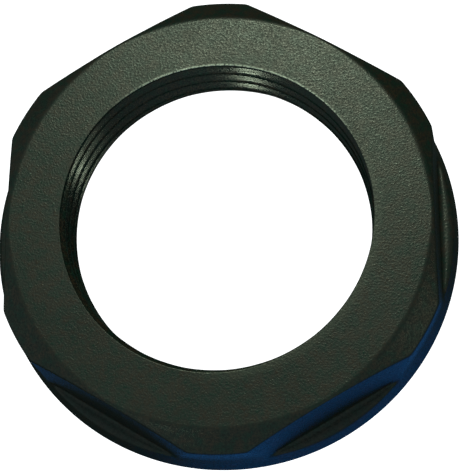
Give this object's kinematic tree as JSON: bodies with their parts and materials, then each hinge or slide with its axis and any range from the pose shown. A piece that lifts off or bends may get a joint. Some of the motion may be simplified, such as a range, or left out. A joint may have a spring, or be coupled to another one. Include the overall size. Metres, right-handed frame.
{
  "type": "cable gland locknut",
  "caption": "Hexagonal locknut with a round flange and a threaded bore, in black plastic, for fixing a cable gland in a panel hole.",
  "frame": {"origin": "centre of the flange's bearing face, on the bore's axis", "axes": "+Z along the bore, from the bearing face towards the hexagon's face; +X square to one wrench flat; +Y through a corner of the hexagon"},
  "size_m": [0.0336, 0.0336, 0.006],
  "materials": {
    "black_polyamide": "fine spark-eroded moulded texture, with a smoother thread"
  },
  "bodies": {
    "root": {"locknut": "black_polyamide"}
  },
  "joints": []
}
